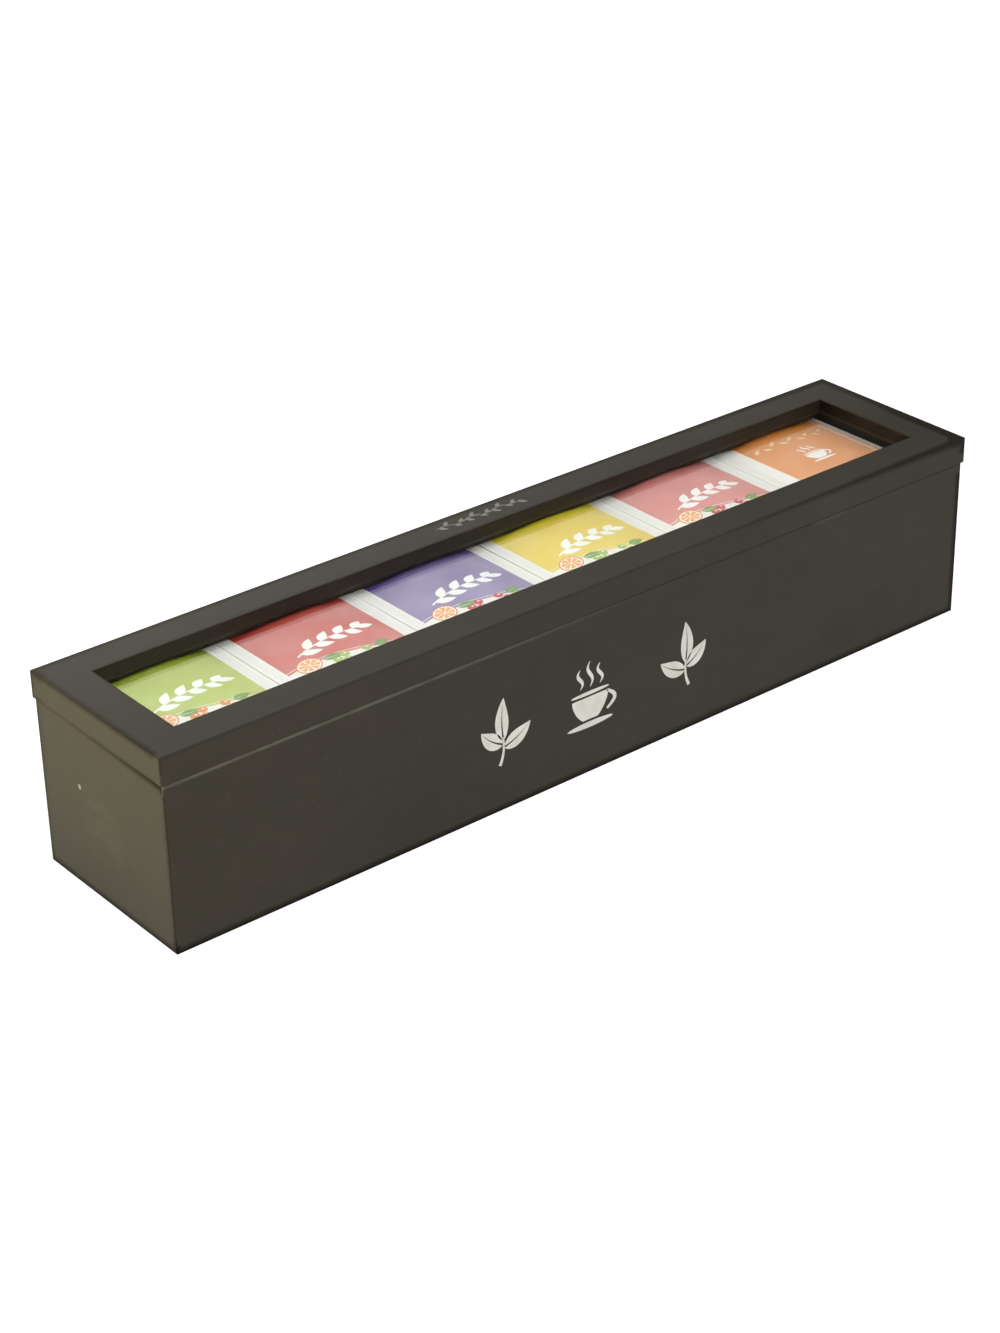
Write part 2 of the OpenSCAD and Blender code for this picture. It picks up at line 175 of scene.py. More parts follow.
floor_data = bpy.data.meshes.new("floor")
bm = bmesh.new()
lowered = Matrix.Translation((0, 0, -floor_drop))
bmesh.ops.create_grid(bm, x_segments=1, y_segments=1, size=floor_half, matrix=lowered)
bm.to_mesh(floor_data)
bm.free()
floor = bpy.data.objects.new("floor", floor_data)
bpy.context.scene.collection.objects.link(floor)
floor_paint = bpy.data.materials.new("floor_paint")
floor_paint.use_nodes = True
tree = floor_paint.node_tree
tree.nodes.remove(tree.nodes["Principled BSDF"])
matt = add_node(tree, "ShaderNodeBsdfDiffuse", Color=floor_grey)
path = add_node(tree, "ShaderNodeLightPath").outputs
looked = maths(tree, "MAXIMUM", path["Is Camera Ray"], path["Is Transmission Ray"])
away = distance_from(tree, object_place(tree), (0, 0, 0))
looked = product(tree, looked, ramp(tree, away, lift_grows_from, lift_grows_to, floor_lift, 1))
mirrored = product(tree, path["Is Glossy Ray"], floor_mirrored)
lift = add_node(tree, "ShaderNodeEmission", Strength=maths(tree, "MAXIMUM", looked, mirrored))
both = add_node(tree, "ShaderNodeAddShader")
tree.links.new(matt.outputs[0], both.inputs[0])
tree.links.new(lift.outputs[0], both.inputs[1])
tree.links.new(both.outputs[0], tree.nodes["Material Output"].inputs["Surface"])
floor_data.materials.append(floor_paint)


# ---- Walls ----
# Four fibreboard walls, glued and pinned at the corners, the pins filled over.
# They are sprayed with a satin black paint that has a brown cast.
paint_deep = (0.0365, 0.0308, 0.0208, 1)
paint_soft = (0.0445, 0.0375, 0.0262, 1)
# The edge colour darkens the arrises: painted shade.
paint_arris_shade = (0.010, 0.0080, 0.0055, 1)
# A dark brown for painted shade on the ends of the box and round the lid's opening.
paint_brown_shade = (0.017, 0.0120, 0.0075, 1)
# A pale colour: the chip and the smudge, the painted highlight on the front's top arris, the painted sheen on the
# lid and the vine's paler flecks.
paint_pale = (0.245, 0.225, 0.185, 1)
paint_shine = 0.21
mottle_share = 0.45
streak_share = 0.35
deep_tone = 0.72
soft_tone = 1.08
dust_grey = (0.26, 0.25, 0.22, 1)
speck_share = 0.5
arris_shade_reach = 2.7 * mm
arris_shade_share = 0.68
skin = 0.3 * mm

chip_place = (-213.8 * mm, 16.9 * mm, 46.6 * mm)
chip_rim = 1.9 * mm
chip_core = 1.4 * mm
chip_ragged = 1.2 * mm
smudge_place = (-213.8 * mm, 1 * mm, 36 * mm)
smudge_rim = 20 * mm
smudge_core = 7 * mm
smudge_share = 0.05
# The painted highlight along the top arris of the front.
highlight_depth = 2.0 * mm
highlight_full_depth = 1.2 * mm
highlight_fades_from = -95 * mm
highlight_fades_to = 25 * mm
highlight_share = 0.40
highlight_spot = 131 * mm
highlight_spot_core = 8 * mm
highlight_spot_rim = 12 * mm
highlight_spot_share = 0.12

# How much more or less painted shade the arrises of the box show; at the front of the end seam it is the painted
# shadow of the lid's overhang.
less_shade_width = 4 * mm
less_shade_to = 10 * mm
more_shade_width = 1.5 * mm
foot_arris_shade_top = 8 * mm
foot_arris_shade_full = 2 * mm
right_shade_from = 204 * mm
right_shade_full = 210 * mm
seam_rim = 5 * mm
seam_core = 3 * mm
seam_filled = 8 * mm
end_seam_front = -42 * mm
end_seam_back = 28 * mm
end_seam_shadow = -2.4 * mm
end_seam_less_shade = 0.8 * mm
# Painted shade on the ends of the box, towards the foot and along the back edge.
end_foot_shade_top = 34 * mm
end_foot_shade_share = 0.27
end_back_shade_width = 6 * mm
end_back_shade_share = 0.30

wall_low = Vector(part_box("front_wall")[0])
wall_high = Vector((-wall_low.x, -wall_low.y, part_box("front_wall")[1].z))


def new_material(name):
    """A material with its node tree and its main shader."""
    material = bpy.data.materials.new(name)
    material.use_nodes = True
    return material, material.node_tree, material.node_tree.nodes["Principled BSDF"]


def parts_of(tree, place):
    """The x, y and z of a place."""
    return add_node(tree, "ShaderNodeSeparateXYZ", Vector=place).outputs[:]


def stretched(tree, place, scale):
    return add_node(tree, "ShaderNodeMapping", Vector=place, Scale=scale).outputs[0]


def cloudy(tree, place, scale=1, detail=3, roughness=0.55):
    texture = dict(Vector=place, Scale=scale, Detail=detail, Roughness=roughness)
    return add_node(tree, "ShaderNodeTexNoise", **texture).outputs["Fac"]


def tinted(tree, share, first, second):
    """The first colour where share is 0, the second where it is 1."""
    mix = tree.nodes.new("ShaderNodeMix")
    mix.data_type = "RGBA"
    for value, socket in zip((share, first, second), (mix.inputs[0], mix.inputs[6], mix.inputs[7])):
        connect(tree, value, socket)
    return mix.outputs[2]


def raised(tree, shader, height, strength, distance):
    bump = add_node(tree, "ShaderNodeBump", Height=height, Strength=strength, Distance=distance)
    tree.links.new(bump.outputs[0], shader.inputs["Normal"])


def on_face(tree, value, face, elsewhere=0.0):
    """1 on the outermost face at that height or width, and elsewhere what is given."""
    return ramp(tree, value, face - skin, face - skin / 3, elsewhere, 1)


def arris_distance(tree, place, low, high):
    """How far a point on a block's faces is from the block's nearest edge."""
    depths = []
    for part, lowest, highest in zip(parts_of(tree, place), low, high):
        off_middle = off(tree, part, (lowest + highest) / 2)
        depths.append(maths(tree, "SUBTRACT", (highest - lowest) / 2, off_middle))
    lesser = maths(tree, "MINIMUM", depths[0], depths[1])
    greater = maths(tree, "MAXIMUM", depths[0], depths[1])
    return maths(tree, "MAXIMUM", lesser, maths(tree, "MINIMUM", greater, depths[2]))


def satin_paint(
    name, nearest_arris, edge=paint_arris_shade, reach=arris_shade_reach, share=arris_shade_share,
    pale_share=None, shade_share=None, inner=paint_brown_shade,
):
    """Sprayed satin paint: cloudy tone, faint streaks, orange peel, an edge colour along the arrises and a little
    dust.

    nearest_arris gives the distance to the nearest edge that takes the edge colour; the default dark edge colour is
    painted shade along the arrises. shade_share gives the share of the inner colour, painted shade, and pale_share
    that of the pale colour, for marks and for painted highlights and sheen.
    """
    material, tree, shader = new_material(name)
    place = object_place(tree)
    cloud = cloudy(tree, place, scale=13, detail=4, roughness=0.6)
    mottle = cloudy(tree, place, scale=90)
    streak = cloudy(tree, stretched(tree, place, (22, 360, 360)))
    peel = cloudy(tree, place, scale=1300, detail=2)

    tone = maths(tree, "MULTIPLY_ADD", mottle, mottle_share, cloud)
    tone = maths(tree, "MULTIPLY_ADD", streak, streak_share, tone)
    colour = tinted(tree, ramp(tree, tone, deep_tone, soft_tone), paint_deep, paint_soft)

    # Painted shade: a share of the darker inner colour.
    if shade_share:
        colour = tinted(tree, shade_share(tree, place), colour, inner)
    # Near each edge the colour goes over to the edge colour: painted shade with the default dark edge colour.
    uneven = maths(tree, "MULTIPLY_ADD", mottle, 0.8 * reach, 0.6 * reach)
    lined = maths(tree, "SUBTRACT", 1, maths(tree, "DIVIDE", nearest_arris(tree, place), uneven))
    lined = product(tree, maths(tree, "MAXIMUM", lined, 0), share)
    colour = tinted(tree, lined, colour, edge)
    # Pale marks, and painted highlights and sheen, in the pale colour.
    if pale_share:
        colour = tinted(tree, pale_share(tree, place), colour, paint_pale)

    speck = add_node(tree, "ShaderNodeTexVoronoi", Vector=place, Scale=120).outputs["Distance"]
    colour = tinted(tree, ramp(tree, speck, 0.035, 0.015, 0, speck_share), colour, dust_grey)
    tree.links.new(colour, shader.inputs["Base Color"])

    tree.links.new(maths(tree, "MULTIPLY_ADD", cloud, 0.22, 0.30), shader.inputs["Roughness"])
    grain = maths(tree, "MULTIPLY_ADD", streak, 0.7, peel)
    raised(tree, shader, grain, strength=0.22, distance=0.05 * mm)
    shine = maths(tree, "MULTIPLY_ADD", lined, -paint_shine, paint_shine)
    tree.links.new(shine, shader.inputs["Specular IOR Level"])
    return material


def wall_marks_and_highlight(tree, place):
    """The painted highlight along the top arris of the front, and the chip and the smudge on the left end.

    The painted highlight runs along the arris's left half, and shows again at one spot on the right.
    """
    x, y, z = parts_of(tree, place)
    frayed = cloudy(tree, place, scale=900)
    ragged = maths(tree, "MULTIPLY_ADD", frayed, chip_ragged, distance_from(tree, place, chip_place))
    chip = ramp(tree, ragged, chip_rim, chip_core)
    from_smudge = distance_from(tree, place, smudge_place)
    wiped = cloudy(tree, stretched(tree, place, (1, 70, 190)), detail=4)
    smudge = ramp(tree, from_smudge, smudge_rim, smudge_core, 0, smudge_share)
    smudge = product(tree, smudge, ramp(tree, wiped, 0.42, 0.62))

    top = ramp(tree, z, wall_high.z - highlight_depth, wall_high.z - highlight_full_depth)
    front = ramp(tree, y, wall_low.y + 0.7 * mm, wall_low.y + 0.3 * mm)
    along = ramp(tree, x, highlight_fades_from, highlight_fades_to, highlight_share, 0)
    spot = ramp(tree, off(tree, x, highlight_spot), highlight_spot_core, highlight_spot_rim, highlight_spot_share, 0)
    patchy = ramp(tree, cloudy(tree, stretched(tree, place, (60, 1, 1))), 0.3, 0.55, 0.55, 1)
    highlight = product(tree, top, front, maths(tree, "MAXIMUM", along, spot), patchy)
    return maths(tree, "MAXIMUM", maths(tree, "MAXIMUM", chip, smudge), highlight)


def seam_cover(tree, y, z, seam, on_end):
    """Takes the line off the seam of lid and box: wholly in front, by on_end elsewhere."""
    near_seam = ramp(tree, off(tree, z, seam), seam_rim, seam_core)
    in_front = ramp(tree, y, wall_low.y + 1.5 * mm, wall_low.y + 0.5 * mm, 0, seam_filled)
    return product(tree, near_seam, maths(tree, "ADD", in_front, on_end))


def wall_arris_distance(tree, place):
    """Distance to the nearest outer edge of the box, for the painted shade along the arrises.

    The left edge of the front and its seam count as further off, and show less. The foot, the right end and the
    front of the end seam count as nearer, and show more painted shade; along the end seam it is the painted shadow
    of the lid's overhang.
    """
    x, y, z = parts_of(tree, place)
    nearest = arris_distance(tree, place, wall_low, wall_high)
    front_face = ramp(tree, y, wall_low.y + 0.1 * mm, wall_low.y + 0.02 * mm)
    above_foot = ramp(tree, z, 3 * mm, 6 * mm)
    less_shaded = product(tree, front_face, above_foot, ramp(tree, x, less_shade_to, -less_shade_to, 0, less_shade_width))
    at_foot = ramp(tree, z, foot_arris_shade_top, foot_arris_shade_full)
    more_shaded = maths(tree, "MAXIMUM", at_foot, ramp(tree, x, right_shade_from, right_shade_full))
    nearest = maths(tree, "MULTIPLY_ADD", more_shaded, -more_shade_width, maths(tree, "ADD", nearest, less_shaded))
    end_seam = ramp(tree, y, end_seam_front, end_seam_back, end_seam_shadow, end_seam_less_shade)
    return maths(tree, "ADD", nearest, seam_cover(tree, y, z, wall_high.z, end_seam))


def end_shade(tree, place):
    """The ends are a little darker towards the foot and along the back edge: painted shade."""
    x, y, z = parts_of(tree, place)
    on_end = on_face(tree, maths(tree, "ABSOLUTE", x), wall_high.x)
    foot = ramp(tree, z, end_foot_shade_top, 0, 0, end_foot_shade_share)
    back = ramp(tree, y, wall_high.y - end_back_shade_width, wall_high.y - 0.5 * mm, 0, end_back_shade_share)
    return product(tree, on_end, maths(tree, "MAXIMUM", foot, back))


def dress(material, *names):
    for name in names:
        for slot in nodes[name].material_slots:
            slot.material = material


wall_paint = satin_paint("wall_paint", wall_arris_distance, pale_share=wall_marks_and_highlight, shade_share=end_shade)
dress(wall_paint, "front_wall", "back_wall", "left_end_wall", "right_end_wall")


# ---- Base ----
# A hardboard panel, bare, with the mesh print of its press on the underside.
# It sits in a rebate round the foot of the walls and is pinned from below.
board_brown = (0.235, 0.140, 0.078, 1)
board_dark = (0.125, 0.070, 0.038, 1)
press_mesh = 1.6 * mm

hardboard, tree, shader = new_material("hardboard")
place = object_place(tree)
fibre = cloudy(tree, stretched(tree, place, (900, 260, 600)), detail=4, roughness=0.65)
blotch = cloudy(tree, place, scale=24)
tone = maths(tree, "MULTIPLY_ADD", blotch, 0.5, product(tree, fibre, 0.9))
tone = ramp(tree, tone, 0.45, 0.95)
tree.links.new(tinted(tree, tone, board_dark, board_brown), shader.inputs["Base Color"])
wires = [
    maths(tree, "SINE", product(tree, part, math.tau / press_mesh))
    for part in parts_of(tree, place)[:2]
]
weave = maths(tree, "MULTIPLY_ADD", maths(tree, "MAXIMUM", *wires), 0.5, fibre)
raised(tree, shader, weave, strength=0.6, distance=0.12 * mm)
tree.links.new(ramp(tree, fibre, 0.3, 0.7, 0.62, 0.85), shader.inputs["Roughness"])
dress(hardboard, "base_panel")


# ---- Brads, pins and screws ----
# Drawn steel wire nails and small countersunk screws, bright but not polished.
# They hold the corners, the base and the hinge leaves, and are the hinge pins too.
steel_bright = (0.56, 0.55, 0.53, 1)
steel_dull = (0.26, 0.25, 0.24, 1)


def metal(name, bright, dull, scratch_scale, least_rough):
    """Drawn or rolled metal, patchy with tarnish and finely scratched."""
    material, tree, shader = new_material(name)
    place = object_place(tree)
    tarnish = cloudy(tree, place, scale=420, detail=4, roughness=0.65)
    scratch = cloudy(tree, stretched(tree, place, scratch_scale))
    colour = tinted(tree, ramp(tree, tarnish, 0.35, 0.7), bright, dull)
    tree.links.new(colour, shader.inputs["Base Color"])
    wear = maths(tree, "MULTIPLY_ADD", tarnish, 0.3, product(tree, scratch, 0.14))
    tree.links.new(maths(tree, "ADD", wear, least_rough), shader.inputs["Roughness"])
    raised(tree, shader, scratch, strength=0.25, distance=0.02 * mm)
    shader.inputs["Metallic"].default_value = 1
    return material


steel = metal("steel", steel_bright, steel_dull, (700, 3000, 700), 0.12)
dress(steel, "corner_brads", "base_brads", "box_leaf_screws", "lid_leaf_screws")
dress(steel, "left_hinge_pin", "right_hinge_pin")


# ---- Dividers ----
# Five thin fibreboard sheets, slid into grooves in the front and back walls.
# They have one thin coat, so that the board shows through on the top edge.
divider_count = 5
divider_edge = (0.085, 0.060, 0.036, 1)
divider_reach = 1 * mm
divider_share = 0.9
divider_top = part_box("divider_1")[1].z
top_veil = 0.35 * mm


def below_divider_top(tree, place):
    return maths(tree, "SUBTRACT", divider_top + top_veil, parts_of(tree, place)[2])


divider_paint = satin_paint(
    "divider_paint", below_divider_top, divider_edge, divider_reach, divider_share
)
dress(divider_paint, *["divider_%d" % (number + 1) for number in range(divider_count)])


# ---- Front decoration ----
# Three cream motifs, screen-printed on the front: a sprig with two leaves and a
# bud, a steaming cup on its saucer, and the sprig again, facing the other way.
cream = (0.930, 0.905, 0.840, 1)
cream_dull = (0.76, 0.735, 0.66, 1)
film = 0.07 * mm
film_sunk = 0.02 * mm
motif_size = 31 * mm
motif_units = 31
motif_low = 21.5 * mm
sprig_left_x = -67.5 * mm
cup_x = -19.5 * mm
sprig_right_x = 61.5 * mm
path_steps = 24
merge_within = 0.002 * mm

cream_paint, tree, shader = new_material("cream_paint")
place = object_place(tree)
thin = cloudy(tree, place, scale=900, detail=4, roughness=0.7)
patch = cloudy(tree, place, scale=160)
bare = ramp(tree, maths(tree, "MULTIPLY_ADD", patch, 0.6, thin), 0.56, 0.5, 0, 0.55)
tone = tinted(tree, ramp(tree, patch, 0.3, 0.7), cream, cream_dull)
tree.links.new(tinted(tree, bare, tone, paint_soft), shader.inputs["Base Color"])
tree.links.new(ramp(tree, thin, 0.3, 0.7, 0.42, 0.6), shader.inputs["Roughness"])
raised(tree, shader, thin, strength=0.2, distance=0.04 * mm)


def stroke(bm, lay, path, inner, outer, steps=20, across=2, ink=0):
    """A stroke of ink that follows path(t), between two distances to the left of it."""
    grid = bmesh.ops.create_grid(bm, x_segments=steps, y_segments=across, size=0.5)["verts"]
    for vert in grid:
        t = min(max(vert.co.x + 0.5, 0), 1)
        side = vert.co.y + 0.5
        ahead = Vector(path(min(t + 0.02, 1))) - Vector(path(max(t - 0.02, 0)))
        left = Vector((-ahead.y, ahead.x)).normalized()
        spot = Vector(path(t)) + left * (inner(t) + (outer(t) - inner(t)) * side)
        vert.co = lay(spot.x, spot.y)
    faces = {face for vert in grid for face in vert.link_faces}
    for face in faces:
        face.material_index = ink
    return faces


def line(bm, lay, path, width, steps=20, ink=0):
    """A stroke with its path in the middle, as wide as width(t)."""
    return stroke(bm, lay, path, lambda t: -width(t) / 2, lambda t: width(t) / 2, steps, 2, ink)


def arc_path(root, angle, length, bend=0.0):
    """A path from root that sets out at an angle and turns by bend, both in degrees."""
    spots = [Vector(root)]
    for step in range(path_steps):
        turn = math.radians(angle + bend * (step + 0.5) / path_steps)
        spots.append(spots[-1] + Vector((math.cos(turn), math.sin(turn))) * length / path_steps)

    def path(t):
        whole = min(int(t * path_steps), path_steps - 1)
        return spots[whole].lerp(spots[whole + 1], t * path_steps - whole)

    return path


def leaf(bm, lay, root, angle, length, width, bend=0.0, vein=0.0, ink=0, steps=14):
    """A pointed leaf in two halves, with a bare vein between that closes towards the tip."""
    path = arc_path(root, angle, length, bend)

    def gap(t):
        return vein * (1 - t) / 2

    def edge(t):
        return gap(t) + width / 2 * math.sin(math.pi * t ** 0.8) ** 0.9

    faces = stroke(bm, lay, path, gap, edge, steps, 2, ink)
    return faces | stroke(bm, lay, path, lambda t: -edge(t), lambda t: -gap(t), steps, 2, ink)


def thicken(bm, faces, rise):
    """Makes a sheet of ink a thin solid whose top lies higher by rise."""
    top = bmesh.ops.extrude_face_region(bm, geom=list(faces))["geom"]
    verts = [item for item in top if isinstance(item, bmesh.types.BMVert)]
    bmesh.ops.translate(bm, verts=verts, vec=rise)


def make_piece(name, bm, body, *materials):
    bmesh.ops.remove_doubles(bm, verts=bm.verts, dist=merge_within)
    bmesh.ops.dissolve_degenerate(bm, edges=bm.edges, dist=merge_within)
    bmesh.ops.recalc_face_normals(bm, faces=bm.faces)
    data = bpy.data.meshes.new(name)
    bm.to_mesh(data)
    bm.free()
    for material in materials:
        data.materials.append(material)
    piece = bpy.data.objects.new(name, data)
    bpy.context.scene.collection.objects.link(piece)
    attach(piece, body)
    return piece


def sprig(bm, lay, size):
    """Two leaves and a bud on a stem, for a field of one size square."""
    s = size / motif_units
    stem = arc_path((12.5 * s, 0), 62, 13 * s, 40)
    faces = line(bm, lay, stem, lambda t: (1.5 - 0.6 * t) * s)
    faces |= leaf(bm, lay, (14.6 * s, 11.5 * s), 100, 19.5 * s, 6.4 * s, -22, 0.9 * s)
    faces |= leaf(bm, lay, (14.2 * s, 9.6 * s), 158, 14.5 * s, 6.8 * s, -34, 0.9 * s)
    faces |= leaf(bm, lay, (14.9 * s, 8.0 * s), 12, 16.0 * s, 7.0 * s, 32, 0.9 * s)
    return faces


def steaming_cup(bm, lay, size, ink=0):
    """A round cup on a saucer with three curls of steam, for a field of one size square."""
    s = size / motif_units

    def swell(t, power=1):
        return math.sin(math.pi * t) ** power

    def girth(t):
        return (4 + 5.8 * swell(t / 2, 0.8)) * s

    def saucer(t):
        return ((0.5 + 25 * t) * s, 1.5 * s)

    def bowl(t):
        return (13 * s, (4 + 10.6 * t) * s)

    def cup_rim(t):
        return ((2.6 + 20.8 * t) * s, 16.4 * s)

    def handle(t):
        return ((22.2 + 4.3 * swell(t)) * s, (14.4 - 8.8 * t) * s)

    faces = line(bm, lay, saucer, lambda t: 2.7 * s * swell(t, 0.5), 30, ink)
    faces |= stroke(bm, lay, bowl, lambda t: -girth(t), girth, 14, 6, ink)
    faces |= line(bm, lay, cup_rim, lambda t: 1.7 * s * swell(t, 0.4), 24, ink)
    faces |= line(bm, lay, handle, lambda t: (1.2 + 0.7 * swell(t)) * s, 20, ink)
    for start, tall in ((7.6, 9.5), (13, 12), (18.4, 9.5)):

        def curl(t):
            return ((start + 1.3 * math.sin(math.tau * t)) * s, (19.2 + tall * t) * s)

        faces |= line(bm, lay, curl, lambda t: (0.2 + 1.5 * swell(t)) * s, 20, ink)
    return faces


for name, motif, start, facing in (
    ("front_sprig_left", sprig, sprig_left_x, 1),
    ("front_teacup", steaming_cup, cup_x, 1),
    ("front_sprig_right", sprig, sprig_right_x, -1),
):

    def on_front_wall(u, v):
        return Vector((start + facing * u, wall_low.y + film_sunk, motif_low + v))

    bm = bmesh.new()
    faces = motif(bm, on_front_wall, motif_size)
    thicken(bm, faces, Vector((0, -film, 0)))
    make_piece(name, bm, "box", cream_paint)


# ---- Tea sachets ----
# Paper envelopes, crimped along both sides and folded at the ends, twelve pressed in
# each stack and one loose on top. Each sort has its own colour, leaves and fruit.
border = 5 * mm
end_fold = 1.0 * mm
border_half = 0.10 * mm
crimp_pitch = 1.25 * mm
crimp_rise = 0.09 * mm
crimp_shade = 0.7
loose = dict(
    width=67.6 * mm, length=74.4 * mm, thick=7.0 * mm, columns=92, rows=88, border_share=0.22
)
loose_pitch = 67.93 * mm
loose_shift = 1.3 * mm
loose_middle = 71.5 * mm
loose_turn = 0.35
orange_trim = 2.2 * mm
pressed = dict(
    width=65.8 * mm, length=74.4 * mm, thick=5.29 * mm, columns=26, rows=26, border_share=0.16
)
pressed_count = 12
stack_low = 3 * mm
stack_pitch = 5.408 * mm
compartment_pitch = 69.43 * mm

paper_white = (0.765, 0.748, 0.700, 1)
paper_shade = (0.60, 0.60, 0.585, 1)
ink_white = (0.84, 0.84, 0.81, 1)
ink_pale = (0.85, 0.62, 0.30, 1)
leaf_green = (0.13, 0.30, 0.03, 1)
leaf_light = (0.36, 0.50, 0.09, 1)
orange_rind = (0.80, 0.24, 0.03, 1)
orange_flesh = (0.86, 0.38, 0.10, 1)
berry_red = (0.55, 0.03, 0.03, 1)
print_shine = 0.3
sorts = {
    "green": dict(ink=(0.38, 0.46, 0.035, 1), deep_ink=(0.27, 0.33, 0.006, 1), berry=orange_rind),
    "red": dict(ink=(0.50, 0.070, 0.045, 1), deep_ink=(0.46, 0.030, 0.015, 1), berry=leaf_light),
    "violet": dict(ink=(0.19, 0.14, 0.32, 1), deep_ink=(0.075, 0.050, 0.25, 1), berry=berry_red),
    "yellow": dict(ink=(0.70, 0.52, 0.02, 1), deep_ink=(0.74, 0.66, 0.004, 1), berry=leaf_light),
    "rose": dict(ink=(0.59, 0.180, 0.155, 1), deep_ink=(0.56, 0.155, 0.150, 1), berry=berry_red),
    "orange": dict(ink=(0.65, 0.215, 0.014, 1), deep_ink=(0.60, 0.170, 0.004, 1), berry=paper_white),
}

# The places of the print are in millimetres from the front left corner of an envelope.
print_rise = 0.03 * mm
print_soft = 0.1
cup_panel = dict(panel_left=10.5, panel_right=63.4, wave_middle=3, wave_rise=0)
fruit_panel = dict(panel_left=6, panel_right=61.2, wave_middle=29, wave_rise=3.5)
deeper_from = 64
deeper_to = 71
hairline_at = 1.6
foot_band_low = 8
foot_band_high = 12
foot_line_at = 14
foot_in_left = 2
foot_in_right = 1.6
cup_print_place = (26, 34)
cup_print_size = 17
fruit_leaves = (
    ((22, 31), -18, 10, 4.2, 20, 0.5, "green"),
    ((11, 28), -60, 8, 3.6, 20, 0.4, "light_green"),
    ((45, 27), 28, 9, 4.0, -24, 0.4, "green"),
    ((46, 26), -30, 8, 3.6, 20, 0.4, "light_green"),
)
berry_spots = ((26, 26.5), (30.6, 28.4), (29.6, 24.2), (40.5, 27.5), (43, 23.8))


def between(tree, value, low, high):
    """1 between two lines of the print, softly cut off at both."""
    above = ramp(tree, value, low - print_soft, low + print_soft)
    return product(tree, above, ramp(tree, value, high + print_soft, high - print_soft))


def printed_paper(name, ink, deep_ink, width, panel_left, panel_right, wave_middle, wave_rise):
    """Coated white paper with one colour panel and shaded crimps.

    The panel is deeper at the back, its front edge is a wave with a hairline along it, and
    a band and a line of the same ink run across the foot.
    """
    material, tree, shader = new_material(name)
    spot = add_node(tree, "ShaderNodeAttribute", {"attribute_name": "print_place"}).outputs["Vector"]
    u, v, side = parts_of(tree, spot)
    place = object_place(tree)
    fibre = cloudy(tree, place, scale=2600)
    blotch = cloudy(tree, place, scale=55)

    swing = product(tree, maths(tree, "SUBTRACT", u, panel_left), math.pi / (panel_right - panel_left))
    wave = maths(tree, "MULTIPLY_ADD", maths(tree, "COSINE", swing), wave_rise, wave_middle)
    above_wave = maths(tree, "SUBTRACT", v, wave)
    behind_wave = ramp(tree, above_wave, -print_soft, print_soft)
    panel = product(tree, between(tree, u, panel_left, panel_right), behind_wave)

    foot_band = between(tree, v, foot_band_low, foot_band_high)
    foot_line = ramp(tree, off(tree, v, foot_line_at), 0.35, 0.25)
    foot_width = between(tree, u, panel_left + foot_in_left, panel_right - foot_in_right)
    foot = product(tree, maths(tree, "MAXIMUM", foot_band, foot_line), foot_width)
    on_upper_side = ramp(tree, side, 0.4, 0.5)
    printed = product(tree, maths(tree, "MAXIMUM", panel, foot), on_upper_side)

    light_ink = [channel + (1 - channel) * 0.10 for channel in ink[:3]] + [1]
    hairline = ramp(tree, off(tree, above_wave, hairline_at), 0.2, 0.32, 0.75, 0)
    colour = tinted(tree, ramp(tree, blotch, 0.3, 0.7), ink, light_ink)
    colour = tinted(tree, ramp(tree, v, deeper_from, deeper_to), colour, deep_ink)
    colour = tinted(tree, hairline, colour, paper_white)
    colour = tinted(tree, printed, paper_white, colour)

    from_side = maths(tree, "MINIMUM", u, maths(tree, "SUBTRACT", width, u))
    within_border = ramp(tree, from_side, border / mm + 0.2, border / mm - 0.2)
    in_seal = product(tree, within_border, ramp(tree, from_side, 1.6, 2.2))
    valley = maths(tree, "SINE", product(tree, from_side, math.tau * mm / crimp_pitch))
    shade = product(tree, in_seal, ramp(tree, valley, 0.2, -0.9, 0, crimp_shade))
    tree.links.new(tinted(tree, shade, colour, paper_shade), shader.inputs["Base Color"])
    tree.links.new(ramp(tree, blotch, 0.3, 0.7, 0.38, 0.5), shader.inputs["Roughness"])
    raised(tree, shader, fibre, strength=0.15, distance=0.03 * mm)
    shader.inputs["Specular IOR Level"].default_value = print_shine
    return material


def ink_paint(name, colour, dark_share=0.25):
    """Printing ink with a faint grain of the paper under it."""
    material, tree, shader = new_material(name)
    grain = cloudy(tree, object_place(tree), scale=700)
    dark = [channel * (1 - dark_share) for channel in colour[:3]] + [1]
    tree.links.new(tinted(tree, ramp(tree, grain, 0.3, 0.75), colour, dark), shader.inputs["Base Color"])
    raised(tree, shader, grain, strength=0.1, distance=0.02 * mm)
    shader.inputs["Roughness"].default_value = 0.42
    shader.inputs["Specular IOR Level"].default_value = print_shine
    return material


def spread(share, size, border_share):
    """Place along one side of an envelope, with more of the mesh given to its borders."""
    if share < border_share:
        return border * share / border_share
    if share > 1 - border_share:
        return size - border * (1 - share) / border_share
    return border + (size - 2 * border) * (share - border_share) / (1 - 2 * border_share)


def puff(u, v, sizes, seed):
    """Half the thickness at a spot: a soft cushion with a bag inside, dents, and flat borders."""
    across = min(abs(2 * u - sizes["width"]) / (sizes["width"] - 2 * border), 1)
    along = min(abs(2 * v - sizes["length"]) / (sizes["length"] - 2 * end_fold), 1)
    crown = (1 - across ** 2.3) * (1 - along ** 28)
    room = sizes["thick"] / 2 - border_half
    spot = Vector((u / mm * 0.055, v / mm * 0.055, seed))
    dent = noise.noise(spot) * 0.30 + noise.noise(spot * 2.7) * 0.14
    dent += abs(noise.noise(spot * 1.6 + Vector((9, 4, 2)))) * 0.3
    soft = min(crown * 3, 1)
    return border_half + room * crown * 0.93 + soft * (0.10 - dent) * 0.75 * mm


